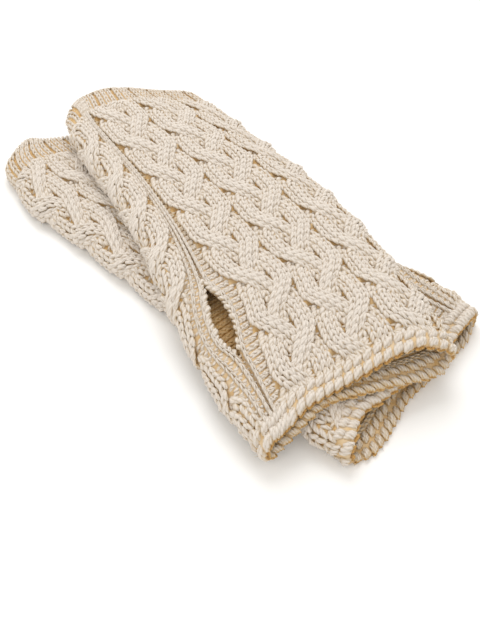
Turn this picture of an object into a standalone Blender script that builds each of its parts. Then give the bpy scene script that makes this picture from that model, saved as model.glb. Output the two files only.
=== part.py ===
"""A pair of cabled fingerless mittens, one laid across the other, both lying on their palms.

Each mitten is a knitted tube, flattened. Its wall is found from a stitch number round the tube and a share of
its length: tables give the two side folds, the cuff line and the finger line in plan, and the height comes from
what the mitten lies on. Plaits, ribs and edge bumps are raised in the outer points over a plain inside.

Plan tables are in millimetres. Along runs from the cuff to the fingers, across from the near fold to the far one.
"""

import bmesh
import bpy
import numpy as np

MM = 0.001

# The knitting: stitches round, and where the sections of one mitten meet.
STITCHES = 72.0
STITCH_WIDTH = 2.76
PLAIT = 9.0
CUFF_RIB = 4.0
BACK_START = -1.5
LADDER = 25.5
SLIT = 30.0
ROLL_START = 34.5
ROLL_END = 43.5
BODY_ROWS = 60.5
ROWS_PER_CROSSING = 8.0
FIRST_CROSSING = 3.6
CROSSING_ROWS = 5.5

# Shares of the length at which the cuff ends and the finger edge starts, and a mitten's nominal place along.
CUFF_END = 0.067
EDGE_START = 0.960
NOMINAL_START = -120.0
NOMINAL_LENGTH = 227.0
SEAM = 0.3
END_SEAM = 0.7

WALL = 2.4
FOLD_INSET = 1.8
FOLD_REACH = 3.5
HALF_HEIGHT = 3.9
UNDER_FOLD = 4.1
PLAIT_RISE = 1.4
CROSSING_RISE = 0.7
RIB_RISE = 0.9
CHAIN_RISE = 0.8
BUMP_RISE = 1.0

# How the upper mitten lies on the lower one: clear of its cables, and falling over these distances from its edge.
LAID_GAP = 2.8
CUFF_BRIDGE = 16.0
SAG_START = -7.0
SAG_END = 31.0

# Moves the pair so that the middle of its bounding box is over the origin.
PAIR_SHIFT = (2.33, 3.29)

UPPER = {
    "name": "upper",
    "pitch": 1.125,
    "row_step": 1.2,
    "centre": (0.0, 0.0),
    "turn": 0.0,
    "thumb_side": -1.0,
    # along, near fold, far fold
    "folds": (
        (-122, -33.0, 37.0),
        (-112, -38.0, 39.0),
        (-98, -41.0, 42.5),
        (-75, -42.0, 45.5),
        (-50, -41.0, 48.5),
        (-22, -42.0, 51.5),
        (0, -43.5, 52.0),
        (22, -47.0, 51.5),
        (45, -49.0, 50.0),
        (68, -50.3, 48.3),
        (92, -50.3, 46.3),
        (108, -49.6, 45.0),
        (118, -48.0, 44.0),
    ),
    # share across, along at the cuff line, finger line of the top layer, finger line of the under layer
    "ends": (
        (-1.0, -112.0, 112.6, 112.6),
        (-0.85, -119.0, 111.0, 112.4),
        (-0.6, -122.0, 107.6, 110.6),
        (-0.3, -121.5, 105.8, 107.8),
        (0.0, -120.0, 105.6, 109.4),
        (0.3, -118.5, 105.8, 112.4),
        (0.6, -117.5, 107.6, 115.0),
        (0.85, -115.0, 111.8, 115.4),
        (1.0, -112.0, 113.5, 113.5),
    ),
    # along, ladder groove, roll groove, half width of the thumb slit; across is measured from the middle
    "thumb": (
        (-122, -25.5, -29.5, 0.0),
        (-95, -27.0, -31.0, 0.0),
        (-75, -26.0, -29.5, 0.0),
        (-55, -24.2, -28.8, 0.0),
        (-20, -23.6, -29.0, 0.0),
        (0, -23.8, -31.2, 0.0),
        (16, -24.4, -34.4, 0.0),
        (27, -24.2, -38.0, 0.0),
        (33, -22.9, -41.0, 0.5),
        (39, -21.7, -43.2, 2.6),
        (46, -21.3, -45.0, 4.1),
        (54, -23.0, -45.8, 4.4),
        (61, -25.2, -46.0, 3.3),
        (67, -25.8, -46.0, 0.9),
        (72, -26.4, -45.6, 0.0),
        (85, -29.6, -44.2, 0.0),
        (100, -33.6, -43.6, 0.0),
        (118, -35.0, -43.6, 0.0),
    ),
    # share across, fullness of the hollow in the body and at the finger end
    "fullness": (
        (-1.0, 0.80, 1.15),
        (-0.88, 0.92, 1.10),
        (-0.72, 0.97, 0.66),
        (-0.4, 1.00, 0.52),
        (-0.1, 1.00, 0.62),
        (0.2, 1.00, 1.00),
        (0.45, 1.00, 1.34),
        (0.7, 0.98, 1.55),
        (0.88, 0.92, 1.25),
        (1.0, 0.80, 0.95),
    ),
}

LOWER = {
    "name": "lower",
    "pitch": 1.4,
    "row_step": 1.5,
    "centre": (-8.2, -3.0),
    "turn": np.radians(16.9),
    "thumb_side": 1.0,
    "folds": (
        (-131, -26.0, 37.0),
        (-122, -35.0, 39.5),
        (-106, -39.5, 41.5),
        (-84, -43.0, 44.0),
        (-66, -41.5, 45.5),
        (-40, -41.3, 47.0),
        (-12, -41.3, 49.0),
        (17, -43.0, 50.0),
        (62, -47.0, 50.5),
        (80, -48.5, 52.0),
        (98, -49.5, 52.5),
        (110, -49.2, 51.4),
        (124, -46.5, 49.0),
    ),
    "ends": (
        (-1.0, -123.5, 117.5, 117.5),
        (-0.85, -127.5, 114.2, 120.4),
        (-0.6, -129.0, 109.0, 120.8),
        (-0.35, -124.0, 110.5, 117.6),
        (-0.1, -118.5, 112.0, 115.4),
        (0.2, -112.0, 113.5, 115.8),
        (0.5, -107.5, 114.4, 116.0),
        (0.8, -104.5, 112.0, 114.8),
        (1.0, -102.0, 112.2, 112.2),
    ),
    "thumb": (
        (-131, 24.5, 28.5, 0.0),
        (-95, 26.0, 30.0, 0.0),
        (-75, 25.5, 29.3, 0.0),
        (-55, 24.4, 29.0, 0.0),
        (-20, 24.6, 30.0, 0.0),
        (0, 25.2, 32.6, 0.0),
        (16, 26.0, 36.0, 0.0),
        (27, 26.0, 39.4, 0.0),
        (33, 25.0, 42.0, 0.5),
        (39, 24.2, 44.2, 2.6),
        (46, 24.0, 46.0, 4.1),
        (54, 25.6, 47.2, 4.4),
        (61, 27.8, 48.2, 3.3),
        (67, 28.8, 48.4, 0.9),
        (72, 29.4, 48.2, 0.0),
        (85, 32.6, 47.6, 0.0),
        (100, 36.4, 47.2, 0.0),
        (124, 38.4, 46.4, 0.0),
    ),
    "fullness": (
        (-1.0, 0.80, 1.25),
        (-0.8, 0.95, 1.20),
        (-0.4, 1.00, 1.00),
        (0.0, 1.00, 1.00),
        (0.4, 1.00, 1.00),
        (0.7, 0.98, 1.00),
        (0.88, 0.94, 1.05),
        (1.0, 0.80, 1.00),
    ),
}

# How high one strand of a plait lies, from 1 on top to -1 below, over half its repeat: row, lift.
STRAND_LIFT = (
    (0.0, 1.0),
    (1.5, 0.5),
    (2.5, -0.3),
    (4.0, -1.0),
    (5.5, -0.5),
    (7.0, 0.2),
    (10.0, 0.6),
    (12.0, 1.0),
)

SLOPE_STEP = 0.05
ALONG_STEP = 0.0006


def column(rows, index):
    return np.array([row[index] for row in rows], float)


def smooth_step(x):
    x = np.clip(x, 0.0, 1.0)
    return x * x * (3.0 - 2.0 * x)


def from_table(rows, index, x):
    """A smooth curve through one column of a table, held level past its ends."""
    xs = column(rows, 0)
    ys = column(rows, index)
    slopes = np.gradient(ys, xs)
    x = np.clip(x, xs[0], xs[-1])
    i = np.clip(np.searchsorted(xs, x, side="right") - 1, 0, len(xs) - 2)
    width = xs[i + 1] - xs[i]
    t = (x - xs[i]) / width
    rise = ys[i] * (1 + 2 * t) * (1 - t) ** 2 + ys[i + 1] * t * t * (3 - 2 * t)
    return rise + width * (slopes[i] * t * (1 - t) ** 2 - slopes[i + 1] * t * t * (1 - t))


def round_section(arc, half, reach):
    """(x, s) at an arc length from the far fold over the top: x across, s from -1 below to 1 above."""
    quarter = np.pi * reach / 2
    flat = 2 * (half - reach)
    arc = np.mod(arc, 4 * quarter + 2 * flat)
    inner = half - reach
    rest = arc - quarter
    near = rest - flat
    under = near - 2 * quarter
    last = under - flat
    x = np.where(rest < 0, inner + reach * np.cos(arc / reach), inner - rest)
    s = np.where(rest < 0, np.sin(arc / reach), 1.0)
    x = np.where(near > 0, -inner - reach * np.sin(near / reach), x)
    s = np.where(near > 0, np.cos(near / reach), s)
    x = np.where(under > 0, -inner + under, x)
    s = np.where(under > 0, -1.0, s)
    x = np.where(last > 0, inner + reach * np.sin(last / reach), x)
    s = np.where(last > 0, -np.cos(last / reach), s)
    return x, s


def share_and_side(mitten, stitch, share):
    """Where a stitch is across the tube: the share from -1 to 1, s from -1 below to 1 above."""
    along = NOMINAL_START + share * NOMINAL_LENGTH
    near = from_table(mitten["folds"], 1, along)
    far = from_table(mitten["folds"], 2, along)
    half = (far - near) / 2 - FOLD_INSET
    inner = half - FOLD_REACH
    quarter = np.pi * FOLD_REACH / 2
    whole = 4 * quarter + 4 * inner

    def arc_on_top(index):
        x = mitten["thumb_side"] * (from_table(mitten["thumb"], index, along) - (far + near) / 2)
        on_fold = np.arcsin(np.clip((x - inner) / FOLD_REACH, 0.0, 1.0))
        return quarter + inner + np.minimum(x, inner) + FOLD_REACH * on_fold

    ladder = arc_on_top(1)
    groove = arc_on_top(2)
    open_by = np.maximum(from_table(mitten["thumb"], 3, along), 0.0)
    slit = (ladder + groove) / 2
    turn = np.mod(stitch - BACK_START, STITCHES) + BACK_START
    arc = (ladder + UNDER_FOLD) * (turn - BACK_START) / (LADDER - BACK_START) - UNDER_FOLD
    thumb_rib = ladder + (slit - open_by - ladder) * (turn - LADDER) / (SLIT - LADDER)
    arc = np.where(turn > LADDER, thumb_rib, arc)
    far_rib = groove - (groove - slit - open_by) * (ROLL_START - turn) / (ROLL_START - SLIT)
    arc = np.where(turn > SLIT, far_rib, arc)
    palm_end = STITCHES + BACK_START
    under = groove + (whole - UNDER_FOLD - groove) * (turn - ROLL_START) / (palm_end - ROLL_START)
    arc = np.where(turn > ROLL_START, under, arc)
    x, s = round_section(arc, half, FOLD_REACH)
    return -mitten["thumb_side"] * x / half, s


def to_plan(mitten, along, across):
    turn = mitten["turn"]
    x = mitten["centre"][0] + along * np.sin(turn) + across * np.cos(turn)
    y = mitten["centre"][1] - along * np.cos(turn) + across * np.sin(turn)
    return x, y


def fullness(mitten, q, share):
    """How full the hollow is, against its usual height: from the body to the finger end."""
    body = from_table(mitten["fullness"], 1, q)
    at_fingers = from_table(mitten["fullness"], 2, q)
    return body + (at_fingers - body) * smooth_step((share - 0.68) / 0.3)


def rest_height(mitten, x, y):
    """Height of what the mitten lies on: the floor, or the lower mitten and the floor round it."""
    if mitten["name"] == "lower":
        return np.zeros_like(x)
    dx = x - LOWER["centre"][0]
    dy = y - LOWER["centre"][1]
    sine = np.sin(LOWER["turn"])
    cosine = np.cos(LOWER["turn"])
    along = dx * sine - dy * cosine
    across = dx * cosine + dy * sine
    near_fold = from_table(LOWER["folds"], 1, along)
    far_fold = from_table(LOWER["folds"], 2, along)
    q = np.clip((2 * across - near_fold - far_fold) / (far_fold - near_fold), -1.0, 1.0)
    cuff = from_table(LOWER["ends"], 1, q)
    fingers = from_table(LOWER["ends"], 3, q)
    edges = (near_fold - across, across - far_fold, cuff - CUFF_BRIDGE - along, along - fingers)
    outside = 3.0 * np.log(sum(np.exp(np.clip(edge, -90, 90) / 3.0) for edge in edges))
    full = fullness(LOWER, q, (along - cuff) / (fingers - cuff))
    top = WALL + LAID_GAP + 2 * HALF_HEIGHT * full
    return top * (1.0 - smooth_step((outside - SAG_START) / (SAG_END - SAG_START)))


def middle_of_wall(mitten, stitch, share):
    q, s = share_and_side(mitten, stitch, share)
    over = (1.0 + s) / 2
    cuff = from_table(mitten["ends"], 1, q)
    fingers = from_table(mitten["ends"], 2, q) * over + from_table(mitten["ends"], 3, q) * (1.0 - over)
    along = cuff + (fingers - cuff) * share
    near = from_table(mitten["folds"], 1, along)
    far = from_table(mitten["folds"], 2, along)
    half = (far - near) / 2 - FOLD_INSET
    across = (far + near) / 2 + q * half
    x, y = to_plan(mitten, along, across)
    full = fullness(mitten, q, share)
    z = rest_height(mitten, x, y) + WALL / 2 + HALF_HEIGHT * full * (1.0 + s)
    return np.stack([x, y, z], axis=-1), s


def wall_points(mitten, stitch, share, out):
    """Points out millimetres from the middle of the wall, and which way up they are."""
    stitch, share, out = np.broadcast_arrays(stitch, share, out)
    point, s = middle_of_wall(mitten, stitch, share)
    ahead, _ = middle_of_wall(mitten, stitch + SLOPE_STEP, share)
    behind, _ = middle_of_wall(mitten, stitch - SLOPE_STEP, share)
    further, _ = middle_of_wall(mitten, stitch, share + ALONG_STEP)
    nearer, _ = middle_of_wall(mitten, stitch, share - ALONG_STEP)
    normal = np.cross(further - nearer, ahead - behind) * mitten["thumb_side"]
    normal /= np.linalg.norm(normal, axis=-1, keepdims=True)
    return point + normal * out[..., None], s


def strand_place(row):
    """Where a strand lies across its plait, in strands from the middle: it moves one place at each crossing."""
    turn = np.mod(row + 4.0, 24.0) - 4.0

    def moved(crossing):
        return smooth_step((turn - crossing) / CROSSING_ROWS + 0.5)

    return moved(0.0) + moved(4.0) - moved(12.0) - moved(16.0) - 1.0


def plait_rise(stitch, row):
    """Height of a plait over the wall: three strands, each a round ridge that lifts where it crosses."""
    rise = np.zeros(np.broadcast(stitch, row).shape)
    for strand in range(3):
        phase = np.mod(row - FIRST_CROSSING + strand * ROWS_PER_CROSSING, 24.0)
        off = stitch - PLAIT / 2 + 3.0 * strand_place(phase)
        ridge = np.sqrt(np.clip(1.0 - (off / 1.75) ** 2, 0.0, None))
        lift = np.interp(np.mod(phase, 12.0), column(STRAND_LIFT, 0), column(STRAND_LIFT, 1))
        on_strand = smooth_step(ridge * 1.6)
        rise = np.maximum(rise, (PLAIT_RISE * ridge + CROSSING_RISE * (lift + 0.35)) * on_strand)
    return rise


def rib(x, middle, half_width):
    return np.clip(1.0 - ((x - middle) / half_width) ** 2, 0.0, None)


def body_rise(stitch, share):
    """Height over the wall of the plaits, the ladder groove and the chain ribs beside the slit."""
    row = (share - CUFF_END) / (EDGE_START - CUFF_END) * BODY_ROWS
    turn = np.mod(stitch - BACK_START, STITCHES) + BACK_START
    start = np.where(turn < ROLL_START, BACK_START, ROLL_START)
    within = np.mod(turn - start, PLAIT)
    rise = plait_rise(within, row)
    chains = sum(rib(turn, middle, 1.1) for middle in (28.6, 31.4, 33.4)) * CHAIN_RISE
    in_strip = (turn > LADDER) & (turn < ROLL_START)
    rise = np.where(in_strip, chains, rise)
    ends = smooth_step(row / 2.0) * smooth_step((BODY_ROWS - row) / 1.6)
    return rise * ends


def cuff_rise(stitch, share):
    return RIB_RISE * (0.5 + 0.5 * np.cos(2 * np.pi * (stitch - 1.0) / CUFF_RIB)) + 0.0 * share


def edge_rise(stitch, share):
    rows = (share - EDGE_START) / (1.0 - EDGE_START) * 2.0
    bumps = 0.72 + 0.28 * np.cos(2 * np.pi * stitch / 3.0)
    return BUMP_RISE * np.abs(np.sin(np.pi * np.clip(rows, 0.02, 1.98))) ** 0.7 * bumps


def outer_points(mitten, stitch, share, rise):
    """The outside of the wall. What is raised fades out underneath, where the mitten rests flat."""
    _, s = middle_of_wall(mitten, *np.broadcast_arrays(stitch, share))
    height = rise(stitch, share) * smooth_step((s + 0.95) / 0.7)
    points, _ = wall_points(mitten, stitch, share, WALL / 2 + height)
    return points


def strip(first, second, first_at, second_at):
    """Triangles between two rows of points that run side by side, each with its own places from 0 to 1."""
    faces = []
    i = 0
    j = 0
    while i < len(first) - 1 or j < len(second) - 1:
        next_first = first_at[i + 1] if i < len(first) - 1 else np.inf
        next_second = second_at[j + 1] if j < len(second) - 1 else np.inf
        if next_first <= next_second:
            faces.append((first[i], first[i + 1], second[j]))
            i += 1
        else:
            faces.append((first[i], second[j + 1], second[j]))
            j += 1
    return faces


def grid_faces(index, closed):
    """Two triangles a cell, split along the shorter way that follows the knit."""
    rows, columns = index.shape
    faces = []
    last = columns if closed else columns - 1
    for r in range(rows - 1):
        for c in range(last):
            a, b = index[r, c], index[r, (c + 1) % columns]
            d, e = index[r + 1, c], index[r + 1, (c + 1) % columns]
            faces += [(a, b, e), (a, e, d)] if (r + c) % 2 else [(a, b, d), (b, e, d)]
    return faces


def knitted_piece(mitten, name, material, grid, inside, rise, closed=False):
    """One section of a mitten as a solid: raised outside, plain and coarser inside, rims between them."""
    stitches, shares = grid
    inner_stitches, inner_shares = inside
    outer = outer_points(mitten, stitches[None, :], shares[:, None], rise)
    inner, _ = wall_points(mitten, inner_stitches[None, :], inner_shares[:, None], -WALL / 2)
    points = np.concatenate([outer.reshape(-1, 3), inner.reshape(-1, 3)])
    out_index = np.arange(outer.shape[0] * outer.shape[1]).reshape(outer.shape[:2])
    in_index = out_index.size + np.arange(inner.shape[0] * inner.shape[1]).reshape(inner.shape[:2])
    faces = grid_faces(out_index, closed) + grid_faces(in_index, closed)
    span = STITCHES if closed else stitches[-1] - stitches[0]
    across = (stitches - stitches[0]) / span
    across_inside = (inner_stitches - stitches[0]) / span
    length = (shares - shares[0]) / (shares[-1] - shares[0])
    length_inside = (inner_shares - shares[0]) / (shares[-1] - shares[0])
    for end in (0, -1):
        first, second = list(out_index[end]), list(in_index[end])
        if closed:
            faces += strip(first + first[:1], second + second[:1], [*across, 1.0], [*across_inside, 1.0])
        else:
            faces += strip(first, second, across, across_inside)
    if not closed:
        for end in (0, -1):
            faces += strip(list(out_index[:, end]), list(in_index[:, end]), length, length_inside)
    return add_object(f"{mitten['name']}_{name}", points, faces, material)


def add_object(name, points, faces, material):
    shifted = (points + np.array([PAIR_SHIFT[0], PAIR_SHIFT[1], 0.0])) * MM
    mesh = bpy.data.meshes.new(name)
    mesh.from_pydata([tuple(p) for p in shifted], [], [tuple(int(i) for i in f) for f in faces])
    shape = bmesh.new()
    shape.from_mesh(mesh)
    bmesh.ops.recalc_face_normals(shape, faces=shape.faces)
    if shape.calc_volume(signed=True) < 0:
        bmesh.ops.reverse_faces(shape, faces=shape.faces)
    shape.to_mesh(mesh)
    shape.free()
    for polygon in mesh.polygons:
        polygon.use_smooth = True
    mesh.set_sharp_from_angle(angle=np.radians(50))
    mesh.materials.append(material)
    obj = bpy.data.objects.new(name, mesh)
    bpy.context.scene.collection.objects.link(obj)
    return obj


def wool(name, colour):
    material = bpy.data.materials.new(name)
    material.use_nodes = True
    shader = material.node_tree.nodes["Principled BSDF"]
    shader.inputs["Base Color"].default_value = (*colour, 1.0)
    shader.inputs["Roughness"].default_value = 0.9
    return material


def spread(first, last, step):
    return np.linspace(first, last, int(round((last - first) / step)) + 1)


def build_mitten(mitten):
    name = mitten["name"]
    seam_around = SEAM / 2 / STITCH_WIDTH
    seam_along = END_SEAM / 2 / NOMINAL_LENGTH
    row_step = mitten["row_step"] * (EDGE_START - CUFF_END) / BODY_ROWS
    body = spread(CUFF_END + seam_along, EDGE_START - seam_along, row_step)
    number = np.arange(len(body))
    by_slit = (body > 0.63) & (body < 0.87)
    body_inside = body[(number % 3 == 0) | (number == len(body) - 1) | by_slit]
    sections = (
        ("back", BACK_START, SLIT, mitten["pitch"], 1.6, (0.86, 0.80, 0.70), body),
        ("thumb_side", SLIT, ROLL_END, mitten["pitch"], 1.3, (0.84, 0.78, 0.67), body),
        ("palm", ROLL_END, STITCHES + BACK_START, 2.4, 2.4, (0.80, 0.73, 0.60), body_inside),
    )
    for piece, first, last, pitch, inner_pitch, colour, rows in sections:
        first = first + seam_around
        last = last - seam_around
        grid = (spread(first, last, pitch), rows)
        inside = (spread(first, last, inner_pitch), body_inside)
        rise = body_rise if piece != "palm" else plain
        knitted_piece(mitten, piece, wool(f"{name}_{piece}_wool", colour), grid, inside, rise)
    around = np.arange(72) * 1.0
    around_inside = np.arange(48) * 1.5
    rib_rows = spread(0.0, CUFF_END - seam_along, CUFF_END / 3)
    knitted_piece(
        mitten,
        "cuff",
        wool(f"{name}_cuff_wool", (0.87, 0.82, 0.73)),
        (around, rib_rows),
        (around_inside, rib_rows[[0, 3]]),
        cuff_rise,
        closed=True,
    )
    edge_rows = spread(EDGE_START + seam_along, 1.0, (1.0 - EDGE_START) / 6)
    knitted_piece(
        mitten,
        "finger_edge",
        wool(f"{name}_finger_edge_wool", (0.88, 0.82, 0.71)),
        (np.arange(48) * 1.5, edge_rows),
        (around_inside, edge_rows[[0, 6]]),
        edge_rise,
        closed=True,
    )


def plain(stitch, share):
    return 0.0 * (stitch + share)


def main():
    for obj in list(bpy.data.objects):
        bpy.data.objects.remove(obj)
    build_mitten(LOWER)
    build_mitten(UPPER)


main()
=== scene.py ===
"""A pair of cabled fingerless mittens in cream wool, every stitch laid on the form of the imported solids."""

import math

import bpy
import numpy as np
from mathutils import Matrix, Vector


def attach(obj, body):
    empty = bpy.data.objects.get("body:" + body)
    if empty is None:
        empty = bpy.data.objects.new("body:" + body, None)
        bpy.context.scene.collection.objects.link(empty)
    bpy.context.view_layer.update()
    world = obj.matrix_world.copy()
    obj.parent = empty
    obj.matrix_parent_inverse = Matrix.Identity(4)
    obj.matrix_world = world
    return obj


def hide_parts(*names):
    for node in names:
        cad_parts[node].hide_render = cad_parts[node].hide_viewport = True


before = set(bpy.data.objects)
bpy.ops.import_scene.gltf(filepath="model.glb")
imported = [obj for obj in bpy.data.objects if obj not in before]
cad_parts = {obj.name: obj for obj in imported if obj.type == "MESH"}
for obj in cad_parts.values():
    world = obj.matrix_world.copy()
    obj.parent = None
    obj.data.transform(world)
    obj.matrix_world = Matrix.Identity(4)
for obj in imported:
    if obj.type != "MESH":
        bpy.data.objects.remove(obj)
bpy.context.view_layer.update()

MM = 0.001

# The knitting: stitches round, and where the sections of one mitten meet.
STITCHES = 72.0
PLAIT = 9.0
STRAND_STITCHES = 3.0
CUFF_RIB = 4.0
BACK_START = -1.5
LADDER = 25.5
SLIT = 30.0
ROLL_START = 34.5
ROLL_END = 43.5
BODY_ROWS = 60.5
ROWS_PER_CROSSING = 8.0
PLAIT_REPEAT = 24.0
HALF_REPEAT = 12.0
FIRST_CROSSING = 3.6
CROSSING_ROWS = 5.5

# Shares of the length at which the cuff ends and the finger edge starts, and a mitten's nominal place along.
CUFF_END = 0.067
EDGE_START = 0.960
NOMINAL_START = -120.0
NOMINAL_LENGTH = 227.0

# The fabric: its wall, the tube's folds and half height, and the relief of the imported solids, in mm.
WALL = 2.4
FOLD_INSET = 1.8
FOLD_REACH = 3.5
HALF_HEIGHT = 3.9
UNDER_FOLD = 4.1
PLAIT_RISE = 1.4
CROSSING_RISE = 0.7
RIB_RISE = 0.9
CHAIN_RISE = 0.8
CHAIN_MIDDLES = (28.6, 31.4, 33.4)
CHAIN_HALF_WIDTH = 1.1
BUMP_RISE = 1.0
BUMP_STITCHES = 3.0
RIDGE_HALF_WIDTH = 1.75
RIDGE_SHOULDER = 1.6
LIFT_LEVEL = 0.35
PLAIT_START_ROWS = 2.0
PLAIT_END_ROWS = 1.6

# The relief fades where the fabric turns under, because the underside lies flat: s is -1 below and 1 above.
UNDER_START = 0.95
UNDER_WIDTH = 0.7

# Where a mitten turns from the fullness of its body to that of its finger end.
FULLER_FROM = 0.68
FULLER_OVER = 0.3

# How the upper mitten lies on the lower one: clear of its cables, and falling away over these distances.
LAID_GAP = 2.8
CUFF_BRIDGE = 16.0
SAG_START = -7.0
SAG_END = 31.0
EDGE_BLEND = 3.0

# Moves the pair so that the middle of its bounding box is over the origin.
PAIR_SHIFT = (2.33, 3.29)

UPPER = {
    "name": "upper",
    "centre": (0.0, 0.0),
    "turn": 0.0,
    "thumb_side": -1.0,
    # along, near fold, far fold
    "folds": (
        (-122, -33.0, 37.0),
        (-112, -38.0, 39.0),
        (-98, -41.0, 42.5),
        (-75, -42.0, 45.5),
        (-50, -41.0, 48.5),
        (-22, -42.0, 51.5),
        (0, -43.5, 52.0),
        (22, -47.0, 51.5),
        (45, -49.0, 50.0),
        (68, -50.3, 48.3),
        (92, -50.3, 46.3),
        (108, -49.6, 45.0),
        (118, -48.0, 44.0),
    ),
    # share across, along at the cuff line, finger line of the top layer, finger line of the under layer
    "ends": (
        (-1.0, -112.0, 112.6, 112.6),
        (-0.85, -119.0, 111.0, 112.4),
        (-0.6, -122.0, 107.6, 110.6),
        (-0.3, -121.5, 105.8, 107.8),
        (0.0, -120.0, 105.6, 109.4),
        (0.3, -118.5, 105.8, 112.4),
        (0.6, -117.5, 107.6, 115.0),
        (0.85, -115.0, 111.8, 115.4),
        (1.0, -112.0, 113.5, 113.5),
    ),
    # along, ladder groove, roll groove, half width of the thumb slit; across is measured from the middle
    "thumb": (
        (-122, -25.5, -29.5, 0.0),
        (-95, -27.0, -31.0, 0.0),
        (-75, -26.0, -29.5, 0.0),
        (-55, -24.2, -28.8, 0.0),
        (-20, -23.6, -29.0, 0.0),
        (0, -23.8, -31.2, 0.0),
        (16, -24.4, -34.4, 0.0),
        (27, -24.2, -38.0, 0.0),
        (33, -22.9, -41.0, 0.5),
        (39, -21.7, -43.2, 2.6),
        (46, -21.3, -45.0, 4.1),
        (54, -23.0, -45.8, 4.4),
        (61, -25.2, -46.0, 3.3),
        (67, -25.8, -46.0, 0.9),
        (72, -26.4, -45.6, 0.0),
        (85, -29.6, -44.2, 0.0),
        (100, -33.6, -43.6, 0.0),
        (118, -35.0, -43.6, 0.0),
    ),
    # share across, fullness of the hollow in the body and at the finger end
    "fullness": (
        (-1.0, 0.80, 1.15),
        (-0.88, 0.92, 1.10),
        (-0.72, 0.97, 0.66),
        (-0.4, 1.00, 0.52),
        (-0.1, 1.00, 0.62),
        (0.2, 1.00, 1.00),
        (0.45, 1.00, 1.34),
        (0.7, 0.98, 1.55),
        (0.88, 0.92, 1.25),
        (1.0, 0.80, 0.95),
    ),
}

LOWER = {
    "name": "lower",
    "centre": (-8.2, -3.0),
    "turn": np.radians(16.9),
    "thumb_side": 1.0,
    "folds": (
        (-131, -26.0, 37.0),
        (-122, -35.0, 39.5),
        (-106, -39.5, 41.5),
        (-84, -43.0, 44.0),
        (-66, -41.5, 45.5),
        (-40, -41.3, 47.0),
        (-12, -41.3, 49.0),
        (17, -43.0, 50.0),
        (62, -47.0, 50.5),
        (80, -48.5, 52.0),
        (98, -49.5, 52.5),
        (110, -49.2, 51.4),
        (124, -46.5, 49.0),
    ),
    "ends": (
        (-1.0, -123.5, 117.5, 117.5),
        (-0.85, -127.5, 114.2, 120.4),
        (-0.6, -129.0, 109.0, 120.8),
        (-0.35, -124.0, 110.5, 117.6),
        (-0.1, -118.5, 112.0, 115.4),
        (0.2, -112.0, 113.5, 115.8),
        (0.5, -107.5, 114.4, 116.0),
        (0.8, -104.5, 112.0, 114.8),
        (1.0, -102.0, 112.2, 112.2),
    ),
    "thumb": (
        (-131, 24.5, 28.5, 0.0),
        (-95, 26.0, 30.0, 0.0),
        (-75, 25.5, 29.3, 0.0),
        (-55, 24.4, 29.0, 0.0),
        (-20, 24.6, 30.0, 0.0),
        (0, 25.2, 32.6, 0.0),
        (16, 26.0, 36.0, 0.0),
        (27, 26.0, 39.4, 0.0),
        (33, 25.0, 42.0, 0.5),
        (39, 24.2, 44.2, 2.6),
        (46, 24.0, 46.0, 4.1),
        (54, 25.6, 47.2, 4.4),
        (61, 27.8, 48.2, 3.3),
        (67, 28.8, 48.4, 0.9),
        (72, 29.4, 48.2, 0.0),
        (85, 32.6, 47.6, 0.0),
        (100, 36.4, 47.2, 0.0),
        (124, 38.4, 46.4, 0.0),
    ),
    "fullness": (
        (-1.0, 0.80, 1.25),
        (-0.8, 0.95, 1.20),
        (-0.4, 1.00, 1.00),
        (0.0, 1.00, 1.00),
        (0.4, 1.00, 1.00),
        (0.7, 0.98, 1.00),
        (0.88, 0.94, 1.05),
        (1.0, 0.80, 1.00),
    ),
}

# How high one strand of a plait lies, from 1 on top to -1 below, over half its repeat: row, lift.
STRAND_LIFT = (
    (0.0, 1.0),
    (1.5, 0.5),
    (2.5, -0.3),
    (4.0, -1.0),
    (5.5, -0.5),
    (7.0, 0.2),
    (10.0, 0.6),
    (12.0, 1.0),
)

SLOPE_STEP = 0.05
ALONG_STEP = 0.0006


def column(rows, index):
    return np.array([row[index] for row in rows], float)


def smooth_step(x):
    x = np.clip(x, 0.0, 1.0)
    return x * x * (3.0 - 2.0 * x)


def top_share(s):
    """1 on top and round the folds, falling to 0 on the underside."""
    return smooth_step((s + UNDER_START) / UNDER_WIDTH)


def from_table(rows, index, x):
    """A smooth curve through one column of a table, held level past its ends."""
    xs = column(rows, 0)
    ys = column(rows, index)
    slopes = np.gradient(ys, xs)
    x = np.clip(x, xs[0], xs[-1])
    i = np.clip(np.searchsorted(xs, x, side="right") - 1, 0, len(xs) - 2)
    width = xs[i + 1] - xs[i]
    t = (x - xs[i]) / width
    rise = ys[i] * (1 + 2 * t) * (1 - t) ** 2 + ys[i + 1] * t * t * (3 - 2 * t)
    return rise + width * (slopes[i] * t * (1 - t) ** 2 - slopes[i + 1] * t * t * (1 - t))


def round_section(arc, half, reach):
    """(x, s) at an arc length from the far fold over the top: x across, s from -1 below to 1 above."""
    quarter = np.pi * reach / 2
    flat = 2 * (half - reach)
    arc = np.mod(arc, 4 * quarter + 2 * flat)
    inner = half - reach
    rest = arc - quarter
    near = rest - flat
    under = near - 2 * quarter
    last = under - flat
    x = np.where(rest < 0, inner + reach * np.cos(arc / reach), inner - rest)
    s = np.where(rest < 0, np.sin(arc / reach), 1.0)
    x = np.where(near > 0, -inner - reach * np.sin(near / reach), x)
    s = np.where(near > 0, np.cos(near / reach), s)
    x = np.where(under > 0, -inner + under, x)
    s = np.where(under > 0, -1.0, s)
    x = np.where(last > 0, inner + reach * np.sin(last / reach), x)
    s = np.where(last > 0, -np.cos(last / reach), s)
    return x, s


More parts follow.
